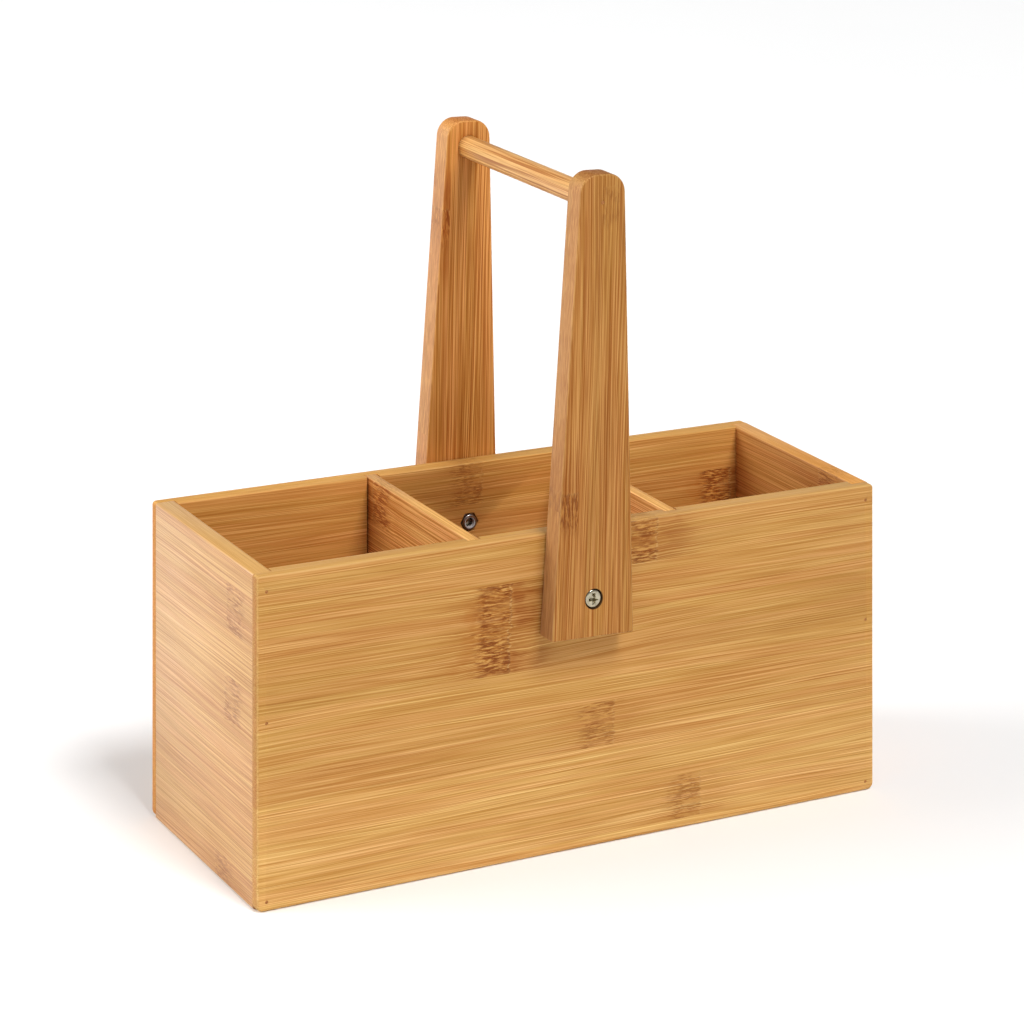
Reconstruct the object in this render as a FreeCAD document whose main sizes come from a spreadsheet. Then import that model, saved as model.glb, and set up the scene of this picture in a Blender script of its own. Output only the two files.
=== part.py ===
import FreeCAD, Part
import os
import Sketcher
from FreeCAD import Rotation, Vector

# Bamboo utensil caddy: an open box with three compartments and a swing handle.
# Millimetres, +Z up, +X along the length. The origin is the middle of the footprint, on the table.

doc = FreeCAD.newDocument("utensil_caddy")
sheet = doc.addObject("Spreadsheet::Sheet", "sizes")

SIZES = (
    # box
    ("box_length", 278, "outside, along X"),
    ("box_depth", 100, "outside, along Y, without the handle's arms"),
    ("box_height", 125, "table to rim"),
    ("wall_thickness", 8, "front and back panels"),
    ("end_thickness", 8, "left and right end panels"),
    ("rabbet_lip", 4, "wood left outside an end panel's edge, at the ends of the front and back panels"),
    ("edge_radius", 1, "sanded outside edges"),
    ("rim_radius", 0.6, "sanded inside edges of the rim"),
    # base and dividers
    ("base_thickness", 4, "base board"),
    ("base_recess", 3, "table to the underside of the base board"),
    ("base_groove_depth", 3, "groove for the base board in all four walls"),
    ("base_groove_play", 0.2, "groove's height and depth beyond the base board"),
    ("divider_thickness", 5, "divider board"),
    ("divider_offset", 44.5, "middle of the box to the middle of a divider"),
    ("divider_groove_depth", 3, "groove for a divider in the front and back panels"),
    ("divider_groove_play", 0.4, "gap between a divider and its groove, each side"),
    # handle
    ("pivot_height", 100.6, "table to the handle's pivot axis"),
    ("handle_lean", 1.5, "degrees past upright, towards +X, where the handle was left standing"),
    ("arm_thickness", 10, "handle arm"),
    ("arm_gap", 0.3, "running gap between an arm and the box"),
    ("arm_bottom_width", 36.7, "arm's width at its square lower end"),
    ("arm_top_width", 19.7, "arm's width at its tip, before the corners are rounded"),
    ("arm_below_pivot", 14.9, "pivot to the arm's lower end"),
    ("arm_above_pivot", 164.8, "pivot to the arm's tip"),
    ("arm_corner_radius", 7.5, "rounded corners of the arm's tip"),
    ("arm_edge_radius", 0.8, "sanded edges of an arm"),
    ("grip_drop", 11, "arm's tip to the middle of the dowel"),
    ("dowel_diameter", 9.5, "round grip"),
    ("dowel_socket_depth", 6, "blind hole for the dowel in each arm"),
    ("dowel_socket_play", 0.05, "gap round the dowel in its socket"),
    ("dowel_chamfer", 0.6, "dowel's ends"),
    # pivot screw and lock nut
    ("screw_diameter", 4, "machine screw"),
    ("screw_length", 16, "countersunk screw, over all"),
    ("screw_chamfer", 0.5, "screw's end"),
    ("head_diameter", 7.3, "countersunk head"),
    ("head_rim", 0.3, "straight rim of the head"),
    ("head_sink", 0.3, "head's top below the arm's face"),
    ("head_play", 0.2, "gap round the head in its seat"),
    ("bolt_play", 0.05, "gap round the screw in the wood and in the nut"),
    ("recess_width", 4.2, "cross recess, tip to tip"),
    ("recess_slot", 1.1, "width of a wing of the cross recess"),
    ("recess_depth", 1.5, "cross recess"),
    ("recess_turn", 20, "degrees that the cross recess is turned"),
    ("nut_flats", 7, "across flats"),
    ("nut_height", 5, "over all"),
    ("nut_stand", 0.6, "nut's collar above the wall's inner face"),
    ("nut_recess_play", 0.25, "gap between the nut's flats and its recess in the wall"),
    ("nut_hex_height", 3.4, "hexagon part of the nut"),
    ("nut_collar_diameter", 6.4, "round collar that holds the nylon ring"),
    ("nut_collar_wall", 0.5, "collar's wall"),
    ("nut_collar_lip", 0.25, "collar's rolled edge over the nylon ring"),
    ("nut_collar_mouth", 5, "opening in the collar's rolled edge"),
    ("nut_ring_play", 0.05, "gap round the nylon ring in its collar"),
    # brads
    ("brad_diameter", 1.2, "brad's shank"),
    ("brad_length", 20, "over all"),
    ("brad_head_diameter", 2, "brad's head"),
    ("brad_head_height", 0.7, "brad's head"),
    ("brad_set", 0.3, "head's top below the face"),
    ("brad_play", 0.02, "gap round a brad"),
    ("brad_top_drop", 6, "rim to the top brad"),
    ("brad_middle_height", 70, "table to the middle brad"),
    ("brad_low_height", 3.5, "table to the lowest brad"),
)

for row, (alias, value, note) in enumerate(SIZES, start=1):
    sheet.set(f"A{row}", alias)
    sheet.set(f"B{row}", str(value))
    sheet.setAlias(f"B{row}", alias)
    sheet.set(f"C{row}", note)
doc.recompute()


# ---------------------------------------------------------------- drawing helpers

def size(formula):
    """The value of a formula of sheet sizes, as a plain number."""
    return float(sheet.evalExpression(formula))


def new_body(label):
    body = doc.addObject("PartDesign::Body", label)
    body.Label = label
    return body


def plane(body, role):
    """One of the body's own origin planes or axes."""
    return next(item for item in body.Origin.OriginFeatures if item.Role == role)


def new_sketch(body, name, role, height="0"):
    """A sketch on an origin plane, or parallel to it at a height along the plane's normal."""
    sketch = body.newObject("Sketcher::SketchObject", name)
    sketch.AttachmentSupport = [(plane(body, role), "")]
    sketch.MapMode = "FlatFace"
    sketch.setExpression("AttachmentOffset.Base.z", height)
    return sketch


def bind(sketch, kind, geometry, point, formula):
    """Hold one coordinate of a point at a formula of sheet sizes."""
    axis = {"DistanceX": -2, "DistanceY": -1}[kind]
    if formula == "0":
        sketch.addConstraint(Sketcher.Constraint("PointOnObject", geometry, point, axis))
        return
    rule = sketch.addConstraint(Sketcher.Constraint(kind, -1, 1, geometry, point, size(formula)))
    sketch.setExpression(f"Constraints[{rule}]", formula)


def outline(sketch, corners):
    """A closed outline of straight edges through corners, each a pair of formulas."""
    points = [Vector(size(x), size(y), 0) for x, y in corners]
    first = sketch.GeometryCount
    for number, start in enumerate(points):
        end = points[(number + 1) % len(points)]
        sketch.addGeometry(Part.LineSegment(start, end))
    for number, (x, y) in enumerate(corners):
        edge = first + number
        following = first + (number + 1) % len(corners)
        sketch.addConstraint(Sketcher.Constraint("Coincident", edge, 2, following, 1))
        bind(sketch, "DistanceX", edge, 1, x)
        bind(sketch, "DistanceY", edge, 1, y)


def rectangle(sketch, left, right, low, high):
    outline(sketch, ((left, low), (right, low), (right, high), (left, high)))


def circle(sketch, x, y, diameter):
    centre = Vector(size(x), size(y), 0)
    ring = sketch.addGeometry(Part.Circle(centre, Vector(0, 0, 1), size(diameter) / 2))
    bind(sketch, "DistanceX", ring, 3, x)
    bind(sketch, "DistanceY", ring, 3, y)
    rule = sketch.addConstraint(Sketcher.Constraint("Diameter", ring, size(diameter)))
    sketch.setExpression(f"Constraints[{rule}]", diameter)


def hexagon(sketch, height, flats):
    """A hexagon round a point on the sketch's upright axis, with flats at its top and bottom."""
    corner = f"({flats}) / sqrt(3)"
    outline(sketch, [
        (f"{corner} * cos({60 * step} deg)", f"{height} + {corner} * sin({60 * step} deg)") for step in range(6)
    ])


# ---------------------------------------------------------------- feature helpers

def feature(body, kind, name, sketch, length=None, reverse=False, both_sides=False):
    """A pad or pocket of a sketch. With no length, a pocket goes right through."""
    item = body.newObject(f"PartDesign::{kind}", name)
    item.Profile = sketch
    item.Reversed = reverse
    if length is None:
        item.Type = "ThroughAll"
    else:
        item.setExpression("Length", length)
    if both_sides:
        item.SideType = "Symmetric"
    sketch.Visibility = False
    return finish(body, item)


def turned(body, kind, name, sketch, axis):
    """A revolution or groove of a sketch, all round one of the body's own axes."""
    item = body.newObject(f"PartDesign::{kind}", name)
    item.Profile = sketch
    item.ReferenceAxis = (plane(body, axis), [""])
    item.Angle = 360
    return finish(body, item)


def finish(body, item):
    """Rebuild the body with the new feature last, and make sure that the feature did something."""
    before = 0.0 if body.Shape.isNull() else body.Shape.Volume
    body.Tip = item
    doc.recompute()
    adds = item.TypeId in ("PartDesign::Pad", "PartDesign::Revolution")
    change = item.Shape.Volume - before
    if (change > 0) != adds or change == 0:
        raise RuntimeError(f"{body.Label}: {item.Name} changes the volume by {change:.3f}")
    return item


def mirrored(body, name, original, role):
    """The same cut again, on the other side of one of the body's origin planes."""
    item = body.newObject("PartDesign::Mirrored", name)
    item.Originals = [original]
    item.MirrorPlane = (plane(body, role), [""])
    return finish(body, item)


def soften(body, name, radius, wanted):
    """Round the edges whose middles pass the wanted test, in the body's own frame."""
    base = body.Tip
    names = []
    for number, edge in enumerate(base.Shape.Edges, start=1):
        if wanted(edge.valueAt((edge.FirstParameter + edge.LastParameter) / 2)):
            names.append(f"Edge{number}")
    item = body.newObject("PartDesign::Fillet", name)
    item.Base = (base, names)
    item.setExpression("Radius", radius)
    return finish(body, item)


def near(first, second):
    return abs(first - second) < 0.001


def place(item, x, y, z, turn=0, lean="0"):
    """Set an object down at x, y, z, turned about Z and then leant about Y, in degrees."""
    spin = f"rotation(vector(0; 0; 1); {turn})"
    tilt = f"rotation(vector(0; 1; 0); {lean})"
    item.setExpression("Placement", f"placement(vector({x}; {y}; {z}); {tilt} * {spin})")


# ---------------------------------------------------------------- box

HALF_LENGTH = "sizes.box_length / 2"
HALF_DEPTH = "sizes.box_depth / 2"
BRAD_HEIGHTS = ("sizes.box_height - sizes.brad_top_drop", "sizes.brad_middle_height", "sizes.brad_low_height")
BRAD_INSET = "sizes.end_thickness / 2"
NUT_RECESS_DEPTH = "(sizes.nut_height - sizes.nut_stand)"
SIDES = (-1, 1)


def brad_holes(body, sketch):
    """Nail holes right through, each with a seat for the brad's head."""
    hole = body.newObject("PartDesign::Hole", "brad_holes")
    hole.Profile = sketch
    hole.DepthType = "ThroughAll"
    hole.HoleCutType = "Counterbore"
    hole.HoleCutCustomValues = True
    hole.setExpression("Diameter", "sizes.brad_diameter + 2 * sizes.brad_play")
    hole.setExpression("HoleCutDiameter", "sizes.brad_head_diameter + 2 * sizes.brad_play")
    hole.setExpression("HoleCutDepth", "sizes.brad_set + sizes.brad_head_height")
    sketch.Visibility = False
    finish(body, hole)


def base_groove(body, role, inner_face, groove_floor):
    """The groove that the base board sits in, along the whole of a wall."""
    section = new_sketch(body, "base_groove_section", role)
    top = "sizes.base_recess + sizes.base_thickness + sizes.base_groove_play"
    rectangle(section, groove_floor, inner_face, "sizes.base_recess", top)
    feature(body, "Pocket", "base_groove", section, both_sides=True)


def wall_panel(label, y, turn):
    """Front or back panel: outer face at local y = 0, inner face at y = wall_thickness."""
    body = new_body(label)
    face = new_sketch(body, "face", "XZ_Plane")
    rectangle(face, f"-{HALF_LENGTH}", HALF_LENGTH, "0", "sizes.box_height")
    feature(body, "Pad", "board", face, "sizes.wall_thickness", reverse=True)

    # a rabbet at each end takes the end panel
    plan = new_sketch(body, "rabbet_plan", "XY_Plane")
    for side in SIDES:
        inner = f"{side} * ({HALF_LENGTH} - sizes.end_thickness)"
        rectangle(plan, inner, f"{side} * {HALF_LENGTH}", "sizes.rabbet_lip", "sizes.wall_thickness")
    feature(body, "Pocket", "rabbets", plan, reverse=True)

    # two upright grooves take the dividers, from the base board's groove to the rim
    plan = new_sketch(body, "divider_groove_plan", "XY_Plane", "sizes.base_recess")
    reach = "(sizes.divider_thickness / 2 + sizes.divider_groove_play)"
    groove_floor = "sizes.wall_thickness - sizes.divider_groove_depth"
    for side in SIDES:
        middle = f"{side} * sizes.divider_offset"
        rectangle(plan, f"{middle} - {reach}", f"{middle} + {reach}", groove_floor, "sizes.wall_thickness")
    feature(body, "Pocket", "divider_grooves", plan, reverse=True)
    base_groove(body, "YZ_Plane", "sizes.wall_thickness", "sizes.wall_thickness - sizes.base_groove_depth")

    bore = new_sketch(body, "pivot_bore_plan", "XZ_Plane")
    circle(bore, "0", "sizes.pivot_height", "sizes.screw_diameter + 2 * sizes.bolt_play")
    feature(body, "Pocket", "pivot_bore", bore)

    # the lock nut is let into the inner face, all but the end of its collar
    recess = new_sketch(body, "nut_recess_plan", "XZ_Plane", "-sizes.wall_thickness")
    hexagon(recess, "sizes.pivot_height", "sizes.nut_flats + 2 * sizes.nut_recess_play")
    feature(body, "Pocket", "nut_recess", recess, NUT_RECESS_DEPTH, reverse=True)

    spots = new_sketch(body, "brad_spots", "XZ_Plane")
    for side in SIDES:
        for height in BRAD_HEIGHTS:
            circle(spots, f"{side} * ({HALF_LENGTH} - {BRAD_INSET})", height, "sizes.brad_diameter")
    brad_holes(body, spots)

    end = size(HALF_LENGTH)
    top = size("sizes.box_height")
    inside = size("sizes.wall_thickness")

    def outside_edge(middle):
        at_top_or_bottom = near(middle.z, 0) or near(middle.z, top)
        at_end = near(abs(middle.x), end)
        on_face = near(middle.y, 0)
        return at_end + at_top_or_bottom + on_face == 2

    def rim_edge(middle):
        return near(middle.y, inside) and near(middle.z, top)

    soften(body, "outside_edges", "sizes.edge_radius", outside_edge)
    soften(body, "rim_edges", "sizes.rim_radius", rim_edge)
    place(body, "0", y, "0", turn)
    return body


def end_panel(label, x, turn):
    """Left or right end panel: outer face at local x = 0, inner face at x = -end_thickness."""
    body = new_body(label)
    half_width = f"({HALF_DEPTH} - sizes.rabbet_lip)"
    face = new_sketch(body, "face", "YZ_Plane")
    rectangle(face, f"-{half_width}", half_width, "0", "sizes.box_height")
    feature(body, "Pad", "board", face, "sizes.end_thickness", reverse=True)
    base_groove(body, "XZ_Plane", "-sizes.end_thickness", "sizes.base_groove_depth - sizes.end_thickness")

    spots = new_sketch(body, "brad_spots", "XZ_Plane", half_width)
    for height in BRAD_HEIGHTS:
        circle(spots, f"-{BRAD_INSET}", height, "sizes.brad_diameter + 2 * sizes.brad_play")
    reach = "sizes.brad_set + sizes.brad_length - sizes.rabbet_lip"
    holes = feature(body, "Pocket", "front_brad_holes", spots, reach)
    mirrored(body, "back_brad_holes", holes, "XZ_Plane")

    top = size("sizes.box_height")
    inside = -size("sizes.end_thickness")

    def outside_edge(middle):
        return near(middle.x, 0) and (near(middle.z, 0) or near(middle.z, top))

    def rim_edge(middle):
        return near(middle.x, inside) and near(middle.z, top)

    soften(body, "outside_edges", "sizes.edge_radius", outside_edge)
    soften(body, "rim_edge", "sizes.rim_radius", rim_edge)
    place(body, x, "0", "0", turn)
    return body


def base_panel(label):
    """Thin board in the grooves of all four walls."""
    body = new_body(label)
    into_groove = "sizes.base_groove_depth - sizes.base_groove_play"
    half_length = f"({HALF_LENGTH} - sizes.end_thickness + {into_groove})"
    half_width = f"({HALF_DEPTH} - sizes.wall_thickness + {into_groove})"
    plan = new_sketch(body, "plan", "XY_Plane")
    rectangle(plan, f"-{half_length}", half_length, f"-{half_width}", half_width)
    feature(body, "Pad", "board", plan, "sizes.base_thickness")
    place(body, "0", "0", "sizes.base_recess")
    return body


def divider(label, side):
    """Board across the box, standing on the base board, its top flush with the rim."""
    body = new_body(label)
    half_width = f"({HALF_DEPTH} - sizes.wall_thickness + sizes.divider_groove_depth)"
    plan = new_sketch(body, "plan", "XY_Plane")
    half_thickness = "sizes.divider_thickness / 2"
    rectangle(plan, f"-{half_thickness}", half_thickness, f"-{half_width}", half_width)
    rise = "sizes.box_height - sizes.base_recess - sizes.base_thickness"
    feature(body, "Pad", "board", plan, rise)
    top = size(rise)

    def rim_edge(middle):
        return near(middle.z, top) and near(middle.y, 0)

    soften(body, "rim_edges", "sizes.rim_radius", rim_edge)
    place(body, f"{side} * sizes.divider_offset", "0", "sizes.base_recess + sizes.base_thickness")
    return body


# ---------------------------------------------------------------- handle

# The arms and the dowel are drawn about the pivot axis, then leant together.
ARM_FACE = f"({HALF_DEPTH} + sizes.arm_gap + sizes.arm_thickness)"
DOWEL_END = f"({HALF_DEPTH} + sizes.arm_gap + sizes.dowel_socket_depth)"
GRIP_HEIGHT = "(sizes.arm_above_pivot - sizes.grip_drop)"


def handle_arm(label, y, turn):
    """Tapered arm: outer face at local y = 0, the pivot at the local origin."""
    body = new_body(label)
    half_bottom = "sizes.arm_bottom_width / 2"
    half_top = "sizes.arm_top_width / 2"
    low = "-sizes.arm_below_pivot"
    high = "sizes.arm_above_pivot"
    face = new_sketch(body, "face", "XZ_Plane")
    outline(face, ((f"-{half_bottom}", low), (half_bottom, low), (half_top, high), (f"-{half_top}", high)))
    feature(body, "Pad", "board", face, "sizes.arm_thickness", reverse=True)

    tip = size(high)
    thickness = size("sizes.arm_thickness")

    def tip_corner(middle):
        return near(middle.z, tip) and near(middle.y, thickness / 2)

    def face_edge(middle):
        return near(middle.y, 0) or near(middle.y, thickness)

    soften(body, "tip_corners", "sizes.arm_corner_radius", tip_corner)
    soften(body, "sanded_edges", "sizes.arm_edge_radius", face_edge)

    # seat for the countersunk screw: a straight rim, a 45 degree cone, then the pivot bore
    seat = new_sketch(body, "screw_seat_section", "YZ_Plane")
    seat_radius = "(sizes.head_diameter / 2 + sizes.head_play)"
    bore_radius = "(sizes.screw_diameter / 2 + sizes.bolt_play)"
    rim = "(sizes.head_sink + sizes.head_rim)"
    outline(seat, (
        ("0", "0"), ("0", seat_radius), (rim, seat_radius),
        (f"{rim} + {seat_radius} - {bore_radius}", bore_radius),
        ("sizes.arm_thickness", bore_radius), ("sizes.arm_thickness", "0"),
    ))
    turned(body, "Groove", "screw_seat", seat, "Y_Axis")

    socket = new_sketch(body, "dowel_socket_plan", "XZ_Plane", "-sizes.arm_thickness")
    circle(socket, "0", GRIP_HEIGHT, "sizes.dowel_diameter + 2 * sizes.dowel_socket_play")
    feature(body, "Pocket", "dowel_socket", socket, "sizes.dowel_socket_depth", reverse=True)

    spot = new_sketch(body, "brad_spot", "XZ_Plane")
    circle(spot, "0", GRIP_HEIGHT, "sizes.brad_diameter")
    brad_holes(body, spot)
    place(body, "0", y, "sizes.pivot_height", turn, "sizes.handle_lean")
    return body


def dowel(label):
    """Round grip between the arms, its ends on the floors of their sockets."""
    body = new_body(label)
    section = new_sketch(body, "section", "XZ_Plane")
    circle(section, "0", GRIP_HEIGHT, "sizes.dowel_diameter")
    rod = feature(body, "Pad", "rod", section, f"2 * {DOWEL_END}", both_sides=True)
    ends = [f"Edge{number}" for number, edge in enumerate(rod.Shape.Edges, start=1) if edge.isClosed()]
    chamfer = body.newObject("PartDesign::Chamfer", "end_chamfers")
    chamfer.Base = (rod, ends)
    chamfer.setExpression("Size", "sizes.dowel_chamfer")
    finish(body, chamfer)

    spot = new_sketch(body, "brad_spot", "XZ_Plane", DOWEL_END)
    circle(spot, "0", GRIP_HEIGHT, "sizes.brad_diameter + 2 * sizes.brad_play")
    skin = "(sizes.arm_thickness - sizes.dowel_socket_depth)"
    hole = feature(body, "Pocket", "front_brad_hole", spot, f"sizes.brad_set + sizes.brad_length - {skin}")
    mirrored(body, "back_brad_hole", hole, "XZ_Plane")
    place(body, "0", "0", "sizes.pivot_height", lean="sizes.handle_lean")
    return body


# ---------------------------------------------------------------- pivot screws and lock nuts

def pivot_screw(label, y, turn):
    """Countersunk cross-recess machine screw: head's top at local y = 0, shank along +Y."""
    body = new_body(label)
    head = "sizes.head_diameter / 2"
    shank = "sizes.screw_diameter / 2"
    section = new_sketch(body, "section", "YZ_Plane")
    outline(section, (
        ("0", "0"), ("0", head), ("sizes.head_rim", head), (f"sizes.head_rim + {head} - {shank}", shank),
        ("sizes.screw_length - sizes.screw_chamfer", shank),
        ("sizes.screw_length", f"{shank} - sizes.screw_chamfer"), ("sizes.screw_length", "0"),
    ))
    turned(body, "Revolution", "blank", section, "Y_Axis")

    # each wing of the cross is two corners out and one in, four times round
    wing = "sizes.recess_width / 2"
    slot = "sizes.recess_slot / 2"
    cross = new_sketch(body, "recess_plan", "XZ_Plane")
    cross.setExpression("AttachmentOffset.Rotation.Angle", "sizes.recess_turn")
    outline(cross, (
        (slot, slot), (slot, wing), (f"-{slot}", wing), (f"-{slot}", slot),
        (f"-{wing}", slot), (f"-{wing}", f"-{slot}"), (f"-{slot}", f"-{slot}"), (f"-{slot}", f"-{wing}"),
        (slot, f"-{wing}"), (slot, f"-{slot}"), (wing, f"-{slot}"), (wing, slot),
    ))
    feature(body, "Pocket", "recess", cross, "sizes.recess_depth")
    place(body, "0", y, "sizes.pivot_height", turn)
    return body


def lock_nut(label, y, turn):
    """Hexagon nut with a round collar for a nylon ring: seat at local y = 0, collar towards +Y."""
    body = new_body(label)
    plan = new_sketch(body, "hexagon_plan", "XZ_Plane")
    hexagon(plan, "0", "sizes.nut_flats")
    feature(body, "Pad", "hexagon_block", plan, "sizes.nut_hex_height", reverse=True)

    # the corners are turned down by a 30 degree cone at both ends
    bevels = new_sketch(body, "corner_bevels", "YZ_Plane")
    beyond = "(1.1 * sizes.nut_flats / sqrt(3))"
    depth = f"(({beyond} - sizes.nut_flats / 2) * tan(30 deg))"
    outline(bevels, (("0", "sizes.nut_flats / 2"), (depth, beyond), ("0", beyond)))
    far = "sizes.nut_hex_height"
    outline(bevels, ((far, "sizes.nut_flats / 2"), (f"{far} - {depth}", beyond), (far, beyond)))
    turned(body, "Groove", "bevelled_corners", bevels, "Y_Axis")

    outer = "sizes.nut_collar_diameter / 2"
    cavity = f"({outer} - sizes.nut_collar_wall)"
    mouth = "sizes.nut_collar_mouth / 2"
    lip = "(sizes.nut_height - sizes.nut_collar_lip)"
    collar = new_sketch(body, "collar_section", "YZ_Plane")
    outline(collar, (
        (far, cavity), (far, outer), ("sizes.nut_height", outer), ("sizes.nut_height", mouth),
        (lip, mouth), (lip, cavity),
    ))
    turned(body, "Revolution", "collar", collar, "Y_Axis")

    bore = new_sketch(body, "bore_plan", "XZ_Plane")
    circle(bore, "0", "0", "sizes.screw_diameter + 2 * sizes.bolt_play")
    feature(body, "Pocket", "bore", bore)
    place(body, "0", y, "sizes.pivot_height", turn)
    return body


def nylon_ring(label, y, turn):
    """Ring held in the nut's collar, its hole formed by the screw."""
    body = new_body(label)
    section = new_sketch(body, "section", "XZ_Plane", "-sizes.nut_hex_height")
    outer = "sizes.nut_collar_diameter - 2 * sizes.nut_collar_wall - 2 * sizes.nut_ring_play"
    circle(section, "0", "0", outer)
    circle(section, "0", "0", "sizes.screw_diameter + 2 * sizes.bolt_play")
    height = "sizes.nut_height - sizes.nut_hex_height - sizes.nut_collar_lip"
    feature(body, "Pad", "ring", section, height, reverse=True)
    place(body, "0", y, "sizes.pivot_height", turn)
    return body


# ---------------------------------------------------------------- brads

def brad():
    """One headed brad: head's top at the origin, shank down the local -Z axis."""
    head = doc.addObject("Part::Cylinder", "brad_head")
    head.setExpression("Radius", "sizes.brad_head_diameter / 2")
    head.setExpression("Height", "sizes.brad_head_height")
    head.setExpression("Placement.Base.z", "-sizes.brad_head_height")
    shank = doc.addObject("Part::Cylinder", "brad_shank")
    shank.setExpression("Radius", "sizes.brad_diameter / 2")
    shank.setExpression("Height", "sizes.brad_length")
    shank.setExpression("Placement.Base.z", "-sizes.brad_length")
    whole = doc.addObject("Part::Fuse", "brad")
    whole.Base = head
    whole.Tool = shank
    return whole


def brad_group(label, spots):
    """Separate brads as one compound. A spot is x, y, z and the way in along Y, 1 or -1."""
    brads = []
    for x, y, z, way in spots:
        whole = brad()
        aim = f"rotation(vector(1; 0; 0); {way * 90})"
        whole.setExpression("Placement", f"placement(vector({x}; {y}; {z}); {aim})")
        brads.append(whole)
    group = doc.addObject("Part::Compound", label)
    group.Label = label
    group.Links = brads
    doc.recompute()
    return group


def wall_brads(label, way):
    """Brads through a long wall's lips into the edges of both end panels."""
    y = f"{-way} * ({HALF_DEPTH} - sizes.brad_set)"
    spots = []
    for side in SIDES:
        for height in BRAD_HEIGHTS:
            spots.append((f"{side} * ({HALF_LENGTH} - {BRAD_INSET})", y, height, way))
    return brad_group(label, spots)


def dowel_brad(label, way):
    """Brad through an arm into the dowel's end, leant with the handle."""
    y = f"{-way} * ({ARM_FACE} - sizes.brad_set)"
    group = brad_group(label, [("0", y, GRIP_HEIGHT, way)])
    place(group, "0", "0", "sizes.pivot_height", lean="sizes.handle_lean")
    return group


# ---------------------------------------------------------------- assembly

# Every piece with a front and a back copy is drawn once, and the back copy is turned half round.
pieces = []
for name, side, turn in (("front", -1, 0), ("back", 1, 180)):
    pieces.append(wall_panel(f"{name}_panel", f"{side} * {HALF_DEPTH}", turn))
    pieces.append(handle_arm(f"{name}_handle_arm", f"{side} * {ARM_FACE}", turn))
    pieces.append(pivot_screw(f"{name}_pivot_screw", f"{side} * ({ARM_FACE} - sizes.head_sink)", turn))
    nut_seat = f"{side} * ({HALF_DEPTH} - sizes.wall_thickness + {NUT_RECESS_DEPTH})"
    pieces.append(lock_nut(f"{name}_lock_nut", nut_seat, turn))
    pieces.append(nylon_ring(f"{name}_nut_ring", nut_seat, turn))
    pieces.append(wall_brads(f"{name}_panel_brads", -side))
    pieces.append(dowel_brad(f"{name}_dowel_brad", -side))
pieces.append(end_panel("left_end_panel", f"-{HALF_LENGTH}", 180))
pieces.append(end_panel("right_end_panel", HALF_LENGTH, 0))
pieces.append(divider("left_divider", -1))
pieces.append(divider("right_divider", 1))
pieces.append(base_panel("base_panel"))
pieces.append(dowel("handle_dowel"))
doc.recompute()

for item in doc.Objects:
    if "Invalid" in item.State or "Error" in item.State:
        raise RuntimeError(f"{item.Label} did not rebuild: {item.State}")

os.makedirs("parts", exist_ok=True)
for piece in pieces:
    shape = piece.Shape
    if shape.isNull() or not shape.isValid() or not shape.Solids:
        raise RuntimeError(f"{piece.Label} has no valid solid")
    shape.exportStep(f"parts/{piece.Label}.step")
    print(f"{piece.Label}: {len(shape.Solids)} solid(s), {shape.Volume:.1f} mm3")
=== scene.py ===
# Bamboo utensil caddy: how its pieces look, in the order that they are put together.
# Metres, +Z up, +X along the length. Sizes in the calls below are in millimetres.

import math
import random

import bpy
from mathutils import Matrix, Vector


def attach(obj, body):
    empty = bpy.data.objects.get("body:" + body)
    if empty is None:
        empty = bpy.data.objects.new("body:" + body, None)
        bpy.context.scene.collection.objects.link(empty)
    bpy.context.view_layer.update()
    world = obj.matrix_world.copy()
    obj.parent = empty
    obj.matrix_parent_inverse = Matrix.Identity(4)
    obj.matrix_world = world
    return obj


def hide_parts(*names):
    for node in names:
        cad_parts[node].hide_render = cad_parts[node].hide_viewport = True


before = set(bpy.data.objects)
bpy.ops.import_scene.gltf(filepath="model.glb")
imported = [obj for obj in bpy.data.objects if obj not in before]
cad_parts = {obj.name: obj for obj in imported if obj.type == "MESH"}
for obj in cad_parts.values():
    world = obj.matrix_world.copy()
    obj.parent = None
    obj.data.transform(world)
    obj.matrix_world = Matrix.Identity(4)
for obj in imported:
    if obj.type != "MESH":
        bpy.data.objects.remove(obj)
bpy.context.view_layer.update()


# ---------------------------------------------------------------- base board
# A thin bamboo board, 4 mm thick, glued up from flat strips and planed. Its four edges slide
# into the grooves of the walls before the box is closed, and no nail holds it.

def clear_bench():
    """Leaves object mode with nothing selected, so that an operator acts on one piece alone."""
    if bpy.context.mode != "OBJECT":
        bpy.ops.object.mode_set(mode="OBJECT")
    bpy.ops.object.select_all(action="DESELECT")


def take(piece):
    """Makes a piece the only one selected."""
    clear_bench()
    piece.select_set(True)
    bpy.context.view_layer.objects.active = piece
    return piece


def settle(piece):
    """Moves a piece's place, turn and scale into its mesh."""
    take(piece)
    bpy.ops.object.transform_apply(location=True, rotation=True, scale=True)
    return piece


def saw(name, low, high):
    """A board sawn to size between two opposite corners."""
    clear_bench()
    middle = [(a + b) / 2000 for a, b in zip(low, high)]
    lengths = [b - a for a, b in zip(low, high)]
    bpy.ops.mesh.primitive_cube_add(size=0.001, location=middle, scale=lengths)
    board = bpy.context.object
    board.name = name
    board.data.name = name
    return settle(board)


def mark_edges(piece, wanted):
    """Enters edit mode with the edges selected whose two ends wanted() accepts."""
    take(piece)
    bpy.ops.object.mode_set(mode="EDIT")
    bpy.ops.mesh.select_mode(type="EDGE")
    bpy.ops.mesh.select_all(action="DESELECT")
    bpy.ops.object.mode_set(mode="OBJECT")
    corners = [corner.co * 1000 for corner in piece.data.vertices]
    for edge in piece.data.edges:
        edge.select = bool(wanted(corners[edge.vertices[0]], corners[edge.vertices[1]]))
    bpy.ops.object.mode_set(mode="EDIT")


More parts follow.
